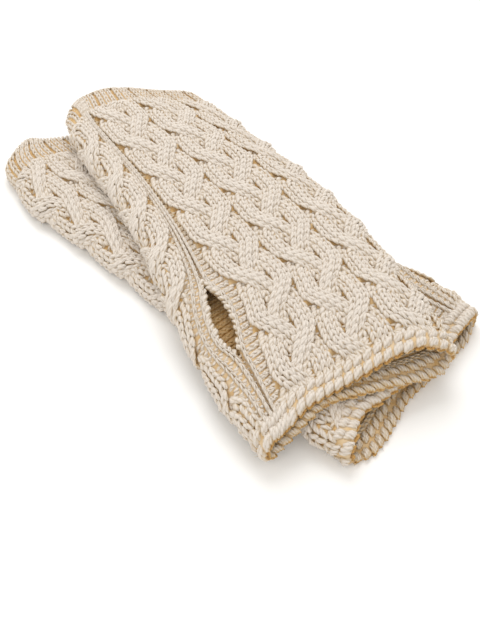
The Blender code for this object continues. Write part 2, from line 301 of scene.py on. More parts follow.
def share_and_side(mitten, stitch, share):
    """Where a stitch is across the tube: the share from -1 to 1, s from -1 below to 1 above."""
    along = NOMINAL_START + share * NOMINAL_LENGTH
    near = from_table(mitten["folds"], 1, along)
    far = from_table(mitten["folds"], 2, along)
    half = (far - near) / 2 - FOLD_INSET
    inner = half - FOLD_REACH
    quarter = np.pi * FOLD_REACH / 2
    whole = 4 * quarter + 4 * inner

    def arc_on_top(index):
        x = mitten["thumb_side"] * (from_table(mitten["thumb"], index, along) - (far + near) / 2)
        on_fold = np.arcsin(np.clip((x - inner) / FOLD_REACH, 0.0, 1.0))
        return quarter + inner + np.minimum(x, inner) + FOLD_REACH * on_fold

    ladder = arc_on_top(1)
    groove = arc_on_top(2)
    open_by = np.maximum(from_table(mitten["thumb"], 3, along), 0.0)
    slit = (ladder + groove) / 2
    turn = np.mod(stitch - BACK_START, STITCHES) + BACK_START
    arc = (ladder + UNDER_FOLD) * (turn - BACK_START) / (LADDER - BACK_START) - UNDER_FOLD
    thumb_rib = ladder + (slit - open_by - ladder) * (turn - LADDER) / (SLIT - LADDER)
    arc = np.where(turn > LADDER, thumb_rib, arc)
    far_rib = groove - (groove - slit - open_by) * (ROLL_START - turn) / (ROLL_START - SLIT)
    arc = np.where(turn > SLIT, far_rib, arc)
    palm_end = STITCHES + BACK_START
    under = groove + (whole - UNDER_FOLD - groove) * (turn - ROLL_START) / (palm_end - ROLL_START)
    arc = np.where(turn > ROLL_START, under, arc)
    x, s = round_section(arc, half, FOLD_REACH)
    return -mitten["thumb_side"] * x / half, s


def to_plan(mitten, along, across):
    """From along and across one mitten to x and y, both in mm."""
    turn = mitten["turn"]
    x = mitten["centre"][0] + along * np.sin(turn) + across * np.cos(turn)
    y = mitten["centre"][1] - along * np.cos(turn) + across * np.sin(turn)
    return x, y


def fullness(mitten, q, share):
    """How full the hollow is, against its usual height: from the body to the finger end."""
    body = from_table(mitten["fullness"], 1, q)
    at_fingers = from_table(mitten["fullness"], 2, q)
    return body + (at_fingers - body) * smooth_step((share - FULLER_FROM) / FULLER_OVER)


def rest_height(mitten, x, y):
    """Height of what the mitten lies on: the floor, or the lower mitten and the floor round it."""
    if mitten["name"] == "lower":
        return np.zeros_like(x)
    dx = x - LOWER["centre"][0]
    dy = y - LOWER["centre"][1]
    sine = np.sin(LOWER["turn"])
    cosine = np.cos(LOWER["turn"])
    along = dx * sine - dy * cosine
    across = dx * cosine + dy * sine
    near_fold = from_table(LOWER["folds"], 1, along)
    far_fold = from_table(LOWER["folds"], 2, along)
    q = np.clip((2 * across - near_fold - far_fold) / (far_fold - near_fold), -1.0, 1.0)
    cuff = from_table(LOWER["ends"], 1, q)
    fingers = from_table(LOWER["ends"], 3, q)
    edges = (near_fold - across, across - far_fold, cuff - CUFF_BRIDGE - along, along - fingers)
    outside = EDGE_BLEND * np.log(sum(np.exp(np.clip(edge, -90, 90) / EDGE_BLEND) for edge in edges))
    full = fullness(LOWER, q, (along - cuff) / (fingers - cuff))
    top = WALL + LAID_GAP + 2 * HALF_HEIGHT * full
    return top * (1.0 - smooth_step((outside - SAG_START) / (SAG_END - SAG_START)))


def middle_of_wall(mitten, stitch, share):
    """A point in the middle of the wall, in mm, and s there."""
    q, s = share_and_side(mitten, stitch, share)
    over = (1.0 + s) / 2
    cuff = from_table(mitten["ends"], 1, q)
    fingers = from_table(mitten["ends"], 2, q) * over + from_table(mitten["ends"], 3, q) * (1.0 - over)
    along = cuff + (fingers - cuff) * share
    near = from_table(mitten["folds"], 1, along)
    far = from_table(mitten["folds"], 2, along)
    half = (far - near) / 2 - FOLD_INSET
    across = (far + near) / 2 + q * half
    x, y = to_plan(mitten, along, across)
    full = fullness(mitten, q, share)
    z = rest_height(mitten, x, y) + WALL / 2 + HALF_HEIGHT * full * (1.0 + s)
    return np.stack([x, y, z], axis=-1), s


def wall_frame(mitten, stitch, share):
    """The middle of the wall, the way out of it, and which way up it is."""
    point, s = middle_of_wall(mitten, stitch, share)
    ahead, _ = middle_of_wall(mitten, stitch + SLOPE_STEP, share)
    behind, _ = middle_of_wall(mitten, stitch - SLOPE_STEP, share)
    further, _ = middle_of_wall(mitten, stitch, share + ALONG_STEP)
    nearer, _ = middle_of_wall(mitten, stitch, share - ALONG_STEP)
    normal = np.cross(further - nearer, ahead - behind) * mitten["thumb_side"]
    normal /= np.linalg.norm(normal, axis=-1, keepdims=True)
    shift = np.array([PAIR_SHIFT[0], PAIR_SHIFT[1], 0.0])
    return point + shift, normal, s


def strand_place(phase):
    """Where a strand lies across its plait, in strands from the middle: one place on at each crossing."""
    lead = ROWS_PER_CROSSING / 2
    turn = np.mod(phase + lead, PLAIT_REPEAT) - lead

    def moved(crossing):
        return smooth_step((turn - crossing) / CROSSING_ROWS + 0.5)

    return moved(0.0) + moved(lead) - moved(HALF_REPEAT) - moved(HALF_REPEAT + lead) - 1.0


def strand_phase(row, strand):
    """How many rows a strand is into its repeat."""
    return np.mod(row - FIRST_CROSSING + strand * ROWS_PER_CROSSING, PLAIT_REPEAT)


def strand_lift(phase):
    return np.interp(np.mod(phase, HALF_REPEAT), column(STRAND_LIFT, 0), column(STRAND_LIFT, 1))


def plait_rise(stitch, row):
    """Height of a plait over the wall: three strands, each a round ridge that lifts where it crosses."""
    rise = np.zeros(np.broadcast(stitch, row).shape)
    for strand in range(3):
        phase = strand_phase(row, strand)
        off = stitch - PLAIT / 2 + STRAND_STITCHES * strand_place(phase)
        ridge = np.sqrt(np.clip(1.0 - (off / RIDGE_HALF_WIDTH) ** 2, 0.0, None))
        height = PLAIT_RISE * ridge + CROSSING_RISE * (strand_lift(phase) + LIFT_LEVEL)
        rise = np.maximum(rise, height * smooth_step(ridge * RIDGE_SHOULDER))
    return rise


def rib(x, middle, half_width):
    """A rounded rib, 1 at its middle and 0 past its half width."""
    return np.clip(1.0 - ((x - middle) / half_width) ** 2, 0.0, None)


def share_at(row):
    """Share of the mitten's length at a row of its body."""
    return CUFF_END + row * (EDGE_START - CUFF_END) / BODY_ROWS


def row_at(share):
    return (share - CUFF_END) / (EDGE_START - CUFF_END) * BODY_ROWS


def body_rise(stitch, share):
    """Height over the wall of the plaits, the ladder groove and the chain ribs beside the slit."""
    row = row_at(share)
    turn = np.mod(stitch - BACK_START, STITCHES) + BACK_START
    start = np.where(turn < ROLL_START, BACK_START, ROLL_START)
    within = np.mod(turn - start, PLAIT)
    rise = plait_rise(within, row)
    chains = sum(rib(turn, middle, CHAIN_HALF_WIDTH) for middle in CHAIN_MIDDLES) * CHAIN_RISE
    in_strip = (turn > LADDER) & (turn < ROLL_START)
    rise = np.where(in_strip, chains, rise)
    ends = smooth_step(row / PLAIT_START_ROWS) * smooth_step((BODY_ROWS - row) / PLAIT_END_ROWS)
    return rise * ends


def cuff_rise(stitch, share):
    """Height over the wall of the ribs of the cuff."""
    return RIB_RISE * (0.5 + 0.5 * np.cos(2 * np.pi * (stitch - 1.0) / CUFF_RIB)) + 0.0 * share


def edge_rise(stitch, share):
    """Height over the wall of the two bumpy ridges of the finger edge."""
    rows = (share - EDGE_START) / (1.0 - EDGE_START) * 2.0
    bumps = 0.72 + 0.28 * np.cos(2 * np.pi * stitch / BUMP_STITCHES)
    return BUMP_RISE * np.abs(np.sin(np.pi * np.clip(rows, 0.02, 1.98))) ** 0.7 * bumps


# The yarn, in mm: half width and half height of a leg of a stitch, how deep its middle line sits in the wall,
# how much wider it is on the folds, and how far the lowest yarn stays off the floor.
YARN_WIDE = 0.94
YARN_HIGH = 0.82
YARN_SEAT = 0.55
FOLD_WIDER = 0.5
SPREAD_WIDER = 0.7
UNDER_HIGH = 0.75
FLOOR_CLEAR = 0.03

# Scatter of the stitches in stitches, and of their size as a share.
LEG_SCATTER = 0.025
BAR_SCATTER = 0.04
SIZE_SCATTER = 0.05

# The painted shade value that colours the wool, lower and so darker and more golden where a yarn lies low in
# the fabric: a level, and how fast it grows with height and with the relief; then how much paler the top of
# each yarn is painted than its sides, a shift, and how much darker the tucked tips are painted.
LEG_PAINTED_SHADE = 0.45
BAR_PAINTED_SHADE = 0.40
LEG_PAINTED_SHADE_BY_HEIGHT = 0.18
BAR_PAINTED_SHADE_BY_HEIGHT = 0.16
PAINTED_SHADE_BY_RISE = 0.10
PAINTED_LIGHT_ON_YARN_TOP = 0.54
PAINTED_SHADE_SHIFT = 0.14
PAINTED_SHADE_AT_TIPS = 0.4

# The yarn pattern: mm in one unit of its length, and how far on each piece of yarn starts.
YARN_UNIT = 10.0
YARN_START_STEP = 1.7

# Loose fibres on each mitten: how many, and their length, width, root and scatter in mm.
FIBRES = 9500
FIBRE_LENGTH = 1.5
SHORTEST_FIBRE = 0.5
LONGEST_FIBRE = 3.6
FIBRE_WIDE = 0.07
FIBRE_ROOT = 0.2
FIBRE_SCATTER = 0.75
# The painted shade value of the fibres, on the wool's ramp.
FIBRE_PAINTED_SHADE = 0.7


def placed(mitten, stitch, row, out):
    """Points this far out from the middle of the wall, in mm, with the way out of the wall, and s there."""
    stitch, row, out = np.broadcast_arrays(stitch, row, out)
    share = share_at(row)
    point, normal, s = wall_frame(mitten, stitch, share)
    return point + normal * out[..., None], normal, s


def new_mesh(name, points, faces, material, values):
    """A mesh from points in mm. faces lists (n, 3) or (n, 4) arrays; values has a number for each point."""
    mesh = bpy.data.meshes.new(name)
    mesh.vertices.add(len(points))
    mesh.vertices.foreach_set("co", (points * MM).astype(np.float32).ravel())
    loops = np.concatenate([np.asarray(block).ravel() for block in faces])
    totals = np.concatenate([np.full(len(block), np.asarray(block).shape[1]) for block in faces])
    mesh.loops.add(len(loops))
    mesh.loops.foreach_set("vertex_index", loops.astype(np.int32))
    mesh.polygons.add(len(totals))
    starts = np.concatenate([[0], np.cumsum(totals)[:-1]])
    mesh.polygons.foreach_set("loop_start", starts.astype(np.int32))
    mesh.polygons.foreach_set("loop_total", totals.astype(np.int32))
    mesh.polygons.foreach_set("use_smooth", np.ones(len(totals), bool))
    mesh.update(calc_edges=True)
    for key, column_values in values.items():
        if key == "uv":
            layer = mesh.uv_layers.new(name="yarn")
            layer.data.foreach_set("uv", column_values[loops].astype(np.float32).ravel())
        else:
            layer = mesh.attributes.new(key, "FLOAT", "POINT")
            layer.data.foreach_set("value", column_values.astype(np.float32))
    mesh.materials.append(material)
    obj = bpy.data.objects.new(name, mesh)
    bpy.context.scene.collection.objects.link(obj)
    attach(obj, "root")
    return obj


class Yarns:
    """Short lengths of yarn, each a row of middle points with a size at each, drawn as one mesh."""

    def __init__(self, sides=6):
        self.sides = sides
        self.blocks = []
        self.skin = []

    def add(self, points, ups, wide, high, painted_shade, tone):
        """points (n, m, 3) in mm, the first and last of each row the tips; ups is the way out at each."""
        n, m, _ = points.shape
        wide = np.broadcast_to(wide, (n, m))
        high = np.broadcast_to(high, (n, m))
        painted_shade = np.broadcast_to(painted_shade, (n, m))
        tone = np.broadcast_to(tone, (n,))
        self.blocks.append((points, ups, wide, high, painted_shade, tone))

    def draw(self, name, material):
        vertex_blocks, painted_shade_blocks, tone_blocks, uv_blocks = [], [], [], []
        quads, triangles = [], []
        offset = 0
        k = self.sides
        for points, ups, wide, high, painted_shade, tone in self.blocks:
            n, m, _ = points.shape
            tangent = np.gradient(points, axis=1)
            tangent /= np.linalg.norm(tangent, axis=2, keepdims=True)
            side = np.cross(tangent, ups)
            side /= np.linalg.norm(side, axis=2, keepdims=True)
            over = np.cross(side, tangent)
            angle = 2 * np.pi * np.arange(k) / k
            ring = m - 2
            inner = slice(1, m - 1)
            circle = points[:, inner, None, :] + (
                side[:, inner, None, :] * (wide[:, inner, None] * np.cos(angle))[..., None]
                + over[:, inner, None, :] * (high[:, inner, None] * np.sin(angle))[..., None]
            )
            self.skin.append((circle.reshape(-1, 3), (circle - points[:, inner, None, :]).reshape(-1, 3)))
            length = np.concatenate(
                [np.zeros((n, 1)), np.cumsum(np.linalg.norm(np.diff(points, axis=1), axis=2), axis=1)], axis=1
            )
            length = length + (np.arange(n) * YARN_START_STEP)[:, None]
            around = np.arange(k) / k
            # Painted light and shade: the top of each yarn is painted paler and its underside darker.
            lit = painted_shade[:, inner, None] + PAINTED_LIGHT_ON_YARN_TOP * np.sin(angle)[None, None, :] - PAINTED_SHADE_SHIFT
            block = np.concatenate([circle.reshape(n, ring * k, 3), points[:, [0, -1]]], axis=1)
            block[..., 2] = np.maximum(block[..., 2], FLOOR_CLEAR)
            count = ring * k + 2
            vertex_blocks.append(block.reshape(-1, 3))
            # Painted shade: the tucked tips of each yarn are painted darker.
            tips_lit = painted_shade[:, [0, -1]] - PAINTED_SHADE_AT_TIPS
            painted_shade_blocks.append(np.concatenate([lit.reshape(n, -1), tips_lit], axis=1).ravel())
            tone_blocks.append(np.repeat(tone, count))
            uv_ring = np.stack(
                np.broadcast_arrays(around[None, None, :], length[:, inner, None] / YARN_UNIT), axis=-1
            ).reshape(n, -1, 2)
            uv_tip = np.stack([np.full((n, 2), 0.5), length[:, [0, -1]] / YARN_UNIT], axis=-1)
            uv_blocks.append(np.concatenate([uv_ring, uv_tip], axis=1).reshape(-1, 2))
            first = offset + np.arange(n)[:, None] * count
            r, c = np.meshgrid(np.arange(ring - 1), np.arange(k), indexing="ij")
            a = (r * k + c).ravel()
            b = (r * k + (c + 1) % k).ravel()
            quad = np.stack([a, a + k, b + k, b], axis=-1)
            quads.append((first[:, :, None] + quad[None]).reshape(-1, 4))
            c = np.arange(k)
            start = np.stack([np.full(k, ring * k), c, (c + 1) % k], axis=-1)
            last = (ring - 1) * k
            end = np.stack([np.full(k, ring * k + 1), last + (c + 1) % k, last + c], axis=-1)
            caps = np.concatenate([start, end])
            triangles.append((first[:, :, None] + caps[None]).reshape(-1, 3))
            offset += n * count
        values = {
            "painted_shade": np.concatenate(painted_shade_blocks),
            "tone": np.concatenate(tone_blocks),
            "uv": np.concatenate(uv_blocks),
        }
        faces = [np.concatenate(quads), np.concatenate(triangles)]
        return new_mesh(name, np.concatenate(vertex_blocks), faces, material, values)


def fuzz(name, material, drawn, rng):
    """Loose fibres that stand off the yarn: thin closed spikes from random places on its skin."""
    skin = np.concatenate([points for yarns in drawn for points, _ in yarns.skin])
    out = np.concatenate([ways for yarns in drawn for _, ways in yarns.skin])
    chosen = rng.integers(0, len(skin), FIBRES)
    root = skin[chosen]
    way = out[chosen] / np.linalg.norm(out[chosen], axis=1, keepdims=True)
    way = way + rng.normal(0.0, FIBRE_SCATTER, (FIBRES, 3))
    way /= np.linalg.norm(way, axis=1, keepdims=True)
    tip = root + way * np.clip(rng.exponential(FIBRE_LENGTH, (FIBRES, 1)), SHORTEST_FIBRE, LONGEST_FIBRE)
    side = np.cross(way, rng.normal(0.0, 1.0, (FIBRES, 3)))
    side /= np.linalg.norm(side, axis=1, keepdims=True)
    other = np.cross(way, side)
    thirds = 2 * np.pi * np.arange(3) / 3
    foot = root - way * FIBRE_ROOT
    corners = [foot + FIBRE_WIDE * (np.cos(a) * side + np.sin(a) * other) for a in thirds]
    points = np.stack([*corners, tip], axis=1)
    points[..., 2] = np.maximum(points[..., 2], FLOOR_CLEAR)
    first = 4 * np.arange(FIBRES)[:, None, None]
    faces = (first + np.array([(0, 2, 1), (0, 1, 3), (1, 2, 3), (2, 0, 3)])).reshape(-1, 3)
    tone = np.repeat(rng.random(FIBRES), 4)
    values = {"painted_shade": np.full(4 * FIBRES, FIBRE_PAINTED_SHADE), "tone": tone, "uv": np.zeros((4 * FIBRES, 2))}
    return new_mesh(name, points.reshape(-1, 3), [faces], material, values)


# One leg of a knit stitch: share of a stitch sideways, rows along, height, and size against the full yarn.
LEG = np.array(
    [
        (0.05, -0.26, -1.00, 0.0),
        (0.11, -0.02, -0.20, 0.86),
        (0.25, 0.50, 0.30, 1.03),
        (0.36, 1.02, -0.16, 0.86),
        (0.40, 1.26, -1.00, 0.0),
    ]
)
# One purl bar: share of a stitch sideways, rows along, height, size. Then its half width and height in mm.
BAR = np.array(
    [
        (-0.62, -0.14, -0.80, 0.0),
        (-0.40, 0.02, -0.05, 0.85),
        (0.0, 0.12, 0.42, 1.0),
        (0.40, 0.02, -0.05, 0.85),
        (0.62, -0.14, -0.80, 0.0),
    ]
)
BAR_WIDE = 0.62
BAR_HIGH = 0.56
BAR_RISE = 0.9

# A strand of a plait: three wales, rounded over, that lifts and dives at the crossings, fading in and out.
STRAND_WALES = (-1.0, 0.0, 1.0)
ROUND_STRAND = 1.3
STRAND_HEIGHT = 2.0
STRAND_SEAT = 0.1
STRAND_CLIMB = 1.30
STRAND_DIVE = 0.60
DIVE_SPREAD = 0.75
TOP_SPREAD = 0.10
STRAND_EARLY = 1.5
STRAND_LATE = 0.8
STRAND_FADE = 3.0

# The low bars beside a strand: how far over they lie, in stitches, and below what lift of the strand.
BESIDE_STRAND = (-2.15, 2.15)
BESIDE_LIFT = 0.45
BESIDE_RISE = 0.15
BESIDE_WIDTH = 1.5


def knit(yarns, mitten, wale, rows, rng, wide=YARN_WIDE, high=YARN_HIGH, lean=1.0):
    """The V stitches of one wale. wale(row) gives its place in stitches, the yarn's height and width."""
    for side in (-1.0, 1.0):
        row = rows[:, None] + LEG[None, :, 1]
        place, rise, width = wale(row)
        loose = rng.normal(0.0, LEG_SCATTER, (len(rows), 1))
        stitch = place + side * LEG[None, :, 0] * width * lean + loose
        full = rng.normal(1.0, SIZE_SCATTER, (len(rows), 1))
        out = WALL / 2 + rise + LEG[None, :, 2] - YARN_SEAT
        points, normal, s = placed(mitten, stitch, row, out)
        round_fold = 1.0 + FOLD_WIDER * (1.0 - s**2)
        # Painted shade: legs that lie lower in the wall or on lower relief are painted darker and more
        # golden.
        painted_shade = LEG_PAINTED_SHADE + LEG_PAINTED_SHADE_BY_HEIGHT * LEG[None, :, 2] + PAINTED_SHADE_BY_RISE * rise
        yarns.add(
            points,
            normal,
            wide * LEG[None, :, 3] * full * round_fold * (1.0 + SPREAD_WIDER * (width - 1.0)),
            high * LEG[None, :, 3] * full * (UNDER_HIGH + (1.0 - UNDER_HIGH) * top_share(s)),
            painted_shade,
            rng.random(len(rows)),
        )


def purl(
    yarns, mitten, wale, rows, rng, wide=BAR_WIDE, high=BAR_HIGH, painted_darkness=0.0, inside=False, halves=(0.0, 0.5)
):
    """Rows of purl bars, at these shares of a row. The ones off the row lie as much of a stitch over."""
    for half in halves:
        row = rows[:, None] + half + BAR[None, :, 1] * (1.0 if half == 0.0 else -1.0)
        place, rise, width = wale(row)
        loose = rng.normal(0.0, BAR_SCATTER, (len(rows), 1))
        stitch = place + BAR[None, :, 0] * width + half * width + loose
        side = -1.0 if inside else 1.0
        out = side * (WALL / 2 + rise + BAR[None, :, 2] * BAR_RISE - YARN_SEAT)
        points, normal, _ = placed(mitten, stitch, row, out)
        # Painted shade: bars that lie lower are painted darker, and darker again by the amount each call
        # gives.
        painted_shade = BAR_PAINTED_SHADE + BAR_PAINTED_SHADE_BY_HEIGHT * BAR[None, :, 2] + PAINTED_SHADE_BY_RISE * rise
        painted_shade = painted_shade - np.reshape(painted_darkness, (-1, 1))
        size = BAR[None, :, 3]
        yarns.add(points, normal * side, wide * size, high * size, painted_shade, rng.random(len(rows)))


def under_fade(mitten, stitch, row):
    _, _, s = wall_frame(mitten, *np.broadcast_arrays(stitch, share_at(row)))
    return top_share(s)


def plait_wale(mitten, start, strand, across):
    """One wale of a strand of the plait that starts at this stitch."""

    def wale(row):
        phase = strand_phase(row, strand)
        middle = start + PLAIT / 2 - STRAND_STITCHES * strand_place(phase)
        lift = strand_lift(phase)
        round_over = np.sqrt(1.0 - (across / ROUND_STRAND) ** 2)
        begins = smooth_step((row + STRAND_EARLY) / STRAND_FADE)
        ends = begins * smooth_step((BODY_ROWS + STRAND_LATE - row) / STRAND_FADE)
        spread = 1.0 + np.where(lift < 0, -DIVE_SPREAD * lift, TOP_SPREAD * lift)
        stitch = middle + across * spread
        flat = under_fade(mitten, stitch, row)
        lifted = np.where(lift < 0, STRAND_DIVE, STRAND_CLIMB) * lift
        rise = (STRAND_HEIGHT * round_over + lifted) * ends * flat + STRAND_SEAT
        return stitch, rise, spread

    return wale


def between_strands(yarns, mitten, start, strand, rows, rng):
    """Low bars beside a strand where it dives under another, so that no bare backing shows there, painted a
    little darker as shade under the crossing.
    """
    low = rows[strand_lift(strand_phase(rows, strand)) < BESIDE_LIFT]
    for across in BESIDE_STRAND:

        def wale(row):
            place = start + PLAIT / 2 - STRAND_STITCHES * strand_place(strand_phase(row, strand)) + across
            return place, BESIDE_RISE * under_fade(mitten, place, row), BESIDE_WIDTH

        purl(yarns, mitten, wale, low, rng, wide=0.95, high=0.74, painted_darkness=0.08, halves=(0.0,))


def plait(yarns, mitten, start, rows, rng):
    """The three strands of one plait, with the bars beside each."""
    for strand in range(3):
        for across in STRAND_WALES:
            knit(yarns, mitten, plait_wale(mitten, start, strand, across), rows, rng)
        between_strands(yarns, mitten, start, strand, rows, rng)


def straight_wale(mitten, stitch, rise, width=1.0):
    """One wale that runs straight along the mitten."""

    def wale(row):
        place = np.full_like(row, stitch)
        return place, rise * under_fade(mitten, place, row), width

    return wale


# The random seed of each mitten, and the rows of its body, of its cuff, of the lining inside its finger end
# and of the palm under the slit.
SEEDS = {"upper": 11, "lower": 12}
ROWS_OF_BODY = np.arange(0.0, BODY_ROWS - 0.4, 1.0)
ROWS_OF_CUFF = np.arange(-4.45, -0.3, 1.0)
ROWS_OF_LINING = np.arange(52.0, BODY_ROWS + 0.4)
ROWS_UNDER_SLIT = np.arange(33.0, 52.0)

# The thumb side: chains as (stitch, rise), the purl wales between them with how much painted shade darkens
# them in their groove at the cuff and how much of that painted shade they lose towards the slit, and the
# shares of the length where the slit is open.
CHAINS = ((29.0, 1.3), (31.0, 1.3), (33.2, 1.0))
STRIP_WALES = (25.7, 27.0, 28.2, 32.1, 34.2)
STRIP_PAINTED_SHADE = 0.34
STRIP_SHADE_LOST = 0.46
SLIT_FROM = 0.66
SLIT_TO = 0.825

# The cuff: the wales of one rib as (offset in stitches, rise), the first rib's middle and how many ribs.
RIB_WALES = ((-1.22, 0.55), (0.0, 0.75), (1.22, 0.55))
FIRST_RIB = 1.0
RIBS = 18


def back_stitches(mitten, rng):
    yarns = Yarns()
    for number in range(3):
        plait(yarns, mitten, BACK_START + PLAIT * number, ROWS_OF_BODY, rng)
    return yarns


def thumb_stitches(mitten, rng):
    """The plait that rolls round the fold, the chains and purl wales by the slit, and the loops round it."""
    yarns = Yarns()
    rows = ROWS_OF_BODY
    plait(yarns, mitten, ROLL_START, rows, rng)
    for stitch, rise in CHAINS:
        wale = straight_wale(mitten, stitch, rise)
        knit(yarns, mitten, wale, rows, rng, wide=0.58, high=0.9, lean=0.95)
    # Painted shade: the purl wales of the ladder groove are painted darker and golden at the cuff, fading
    # towards the slit.
    painted_darkness = STRIP_PAINTED_SHADE - STRIP_SHADE_LOST * shade_faded(share_at(rows))
    for stitch in STRIP_WALES:
        wale = straight_wale(mitten, stitch, 0.15, 1.25)
        purl(yarns, mitten, wale, rows, rng, wide=0.95, high=0.95, painted_darkness=painted_darkness)
    closed = rows[(share_at(rows) < SLIT_FROM) | (share_at(rows) > SLIT_TO)]
    purl(yarns, mitten, straight_wale(mitten, SLIT, -0.1, 0.9), closed, rng)
    slit_edge(yarns, mitten, rng)
    return yarns


def palm_stitches(mitten, rng):
    yarns = Yarns(4)
    for stitch in np.arange(ROLL_END + 0.5, STITCHES + BACK_START, 1.0):
        knit(yarns, mitten, straight_wale(mitten, stitch, 0.35), ROWS_OF_BODY, rng)
    return yarns


def cuff_stitches(mitten, rng):
    """Knit ribs with purl between them, and the cast-on edge."""
    yarns = Yarns()
    rows = ROWS_OF_CUFF
    for number in range(RIBS):
        middle = FIRST_RIB + CUFF_RIB * number
        for offset, rise in RIB_WALES:
            wale = straight_wale(mitten, middle + offset, rise, 1.22)
            knit(yarns, mitten, wale, rows, rng, wide=0.62, lean=0.8)
        # Painted shade: the purl between the ribs is painted darker, as shade in its groove.
        wale = straight_wale(mitten, middle + CUFF_RIB / 2, -0.6, 0.9)
        purl(yarns, mitten, wale, rows, rng, wide=0.8, painted_darkness=0.25)
    cast_on(yarns, mitten, rng)
    return yarns


def inside_stitches(mitten, rng):
    """The purl bars inside the finger end and the cuff, where the open ends show them, painted darker as
    shade inside the tube.
    """
    yarns = Yarns(5)
    for stitch in np.arange(0.5, STITCHES, 1.0):
        wale = straight_wale(mitten, stitch, 0.1, 1.25)
        purl(yarns, mitten, wale, ROWS_OF_LINING, rng, wide=0.95, high=0.8, painted_darkness=0.22, inside=True)
        purl(
            yarns, mitten, wale, ROWS_OF_CUFF, rng, wide=1.2, high=0.75, painted_darkness=0.22, inside=True, halves=(0.4,)
        )
    return yarns


def under_slit_stitches(mitten, rng):
    """The purl bars inside the palm that show through the thumb slit, painted much darker, in the backing's
    colours, as shade inside the hollow.
    """
    yarns = Yarns(5)
    for stitch in np.arange(ROLL_START + 0.5, 58.0, 1.0):
        wale = straight_wale(mitten, stitch, 0.1, 1.25)
        purl(yarns, mitten, wale, ROWS_UNDER_SLIT, rng, wide=0.95, high=0.9, painted_darkness=0.45, inside=True)
    return yarns


def knit_mitten(mitten, materials):
    """One mitten: its thin base shell, which is the sheet, and the pieces of yarn stitched into it."""
    name = mitten["name"]
    rng = np.random.default_rng(SEEDS[name])
    base = base_shell(mitten, materials["base"])
    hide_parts(*[f"{name}_{part}" for part in ("back", "thumb_side", "palm", "cuff", "finger_edge")])

    back = back_stitches(mitten, rng)
    thumb = thumb_stitches(mitten, rng)
    palm = palm_stitches(mitten, rng)
    cuff = cuff_stitches(mitten, rng)
    edge = finger_edge(mitten, rng)
    lining = inside_stitches(mitten, rng)
    shown = [
        (back.draw(f"{name}_back_stitches", materials["wool"]), "back"),
        (thumb.draw(f"{name}_thumb_stitches", materials["wool"]), "thumb_side"),
        (palm.draw(f"{name}_palm_stitches", materials["wool"]), "palm"),
        (cuff.draw(f"{name}_cuff_stitches", materials["wool"]), "cuff"),
        (edge.draw(f"{name}_finger_edge_stitches", materials["wool"]), "finger_edge"),
        (lining.draw(f"{name}_inside_stitches", materials["wool"]), "finger_edge"),
    ]
    if name == "upper":
        under_slit = under_slit_stitches(mitten, rng)
        # Painted shade: the bars under the slit take the darker backing colours.
        shown.append((under_slit.draw(f"{name}_under_slit_stitches", materials["base"]), "palm"))
    loose = fuzz(f"{name}_fuzz", materials["wool"], [back, thumb, cuff, edge, lining], rng)
    shown.append((loose, "back"))


# One loop over the edge of the thumb slit: stitches from the edge, rows along, height, size.
SLIT_LOOP = np.array(
    [
        (-1.15, 0.6, 0.25, 0.0),
        (-0.6, 0.45, 0.75, 0.9),
        (-0.08, 0.1, 0.62, 1.0),
        (0.12, -0.25, -0.35, 0.85),
        (0.05, -0.4, -1.2, 0.0),
    ]
)
SLIT_LOOPS_AT = np.arange(0.655, 0.832, 0.0118)
SLIT_CLEAR = 0.02


def slit_edge(yarns, mitten, rng):
    """The loops round the thumb slit, turned over its edge."""
    for side in (-1.0, 1.0):
        rows = row_at(SLIT_LOOPS_AT)
        row = rows[:, None] + SLIT_LOOP[None, :, 1]
        stitch = SLIT + side * (-SLIT_LOOP[None, :, 0] + rng.normal(0, 0.26, (len(rows), 1)))
        right = np.maximum(stitch, SLIT + SLIT_CLEAR)
        left = np.minimum(stitch, SLIT - SLIT_CLEAR)
        out = WALL / 2 + SLIT_LOOP[None, :, 2] - 0.1
        points, normal, _ = placed(mitten, right if side > 0 else left, row, out)
        size = SLIT_LOOP[None, :, 3] * rng.normal(1.22, 0.24, (len(rows), 1))
        # Painted shade: the loops are painted darker where they turn down into the slit.
        painted_shade = 0.5 + 0.12 * SLIT_LOOP[None, :, 2]
        yarns.add(points, normal, 0.95 * size, 0.88 * size, painted_shade, rng.random(len(rows)))


# One loop of the cast-on edge: half stitches sideways, rows along, height, size.
CAST_ON_LOOP = np.array(
    [
        (-0.1, 0.7, 0.2, 0.0),
        (-0.05, 0.35, 0.55, 0.9),
        (0.05, -0.12, 0.1, 1.0),
        (0.1, -0.22, -1.2, 0.9),
        (0.1, 0.3, -2.4, 0.0),
    ]
)
CAST_ON_STEP = 0.8


def cast_on(yarns, mitten, rng):
    """The cast-on edge: loops over the rim."""
    stitches = np.arange(0.0, STITCHES, CAST_ON_STEP)
    row = row_at(0.0) + CAST_ON_LOOP[None, :, 1]
    stitch = stitches[:, None] + CAST_ON_LOOP[None, :, 0] * 2.0
    points, normal, _ = placed(mitten, stitch, row, WALL / 2 + CAST_ON_LOOP[None, :, 2])
    size = CAST_ON_LOOP[None, :, 3]
    yarns.add(points, normal, 0.72 * size, 0.66 * size, 0.6, rng.random(len(stitches)))


# One ply of a bump of the hem: stitches sideways, rows along, height, size.
BUMP = np.array(
    [
        (-0.34, -0.72, -0.85, 0.0),
        (-0.24, -0.46, 0.05, 0.92),
        (0.0, 0.0, 0.75, 1.0),
        (0.24, 0.46, 0.05, 0.92),
        (0.34, 0.72, -0.85, 0.0),
    ]
)
HEM_BUMPS = 48

# The plies of a bump as (stitches sideways, height), and the ridges on each face: face, places, height.
BUMP_PLIES = ((-0.38, -0.48), (0.0, 0.0), (0.38, -0.48))
HEM_RIDGES = ((1.0, (0.25, 0.76), 1.0), (-1.0, (0.25, 0.80), 0.7))
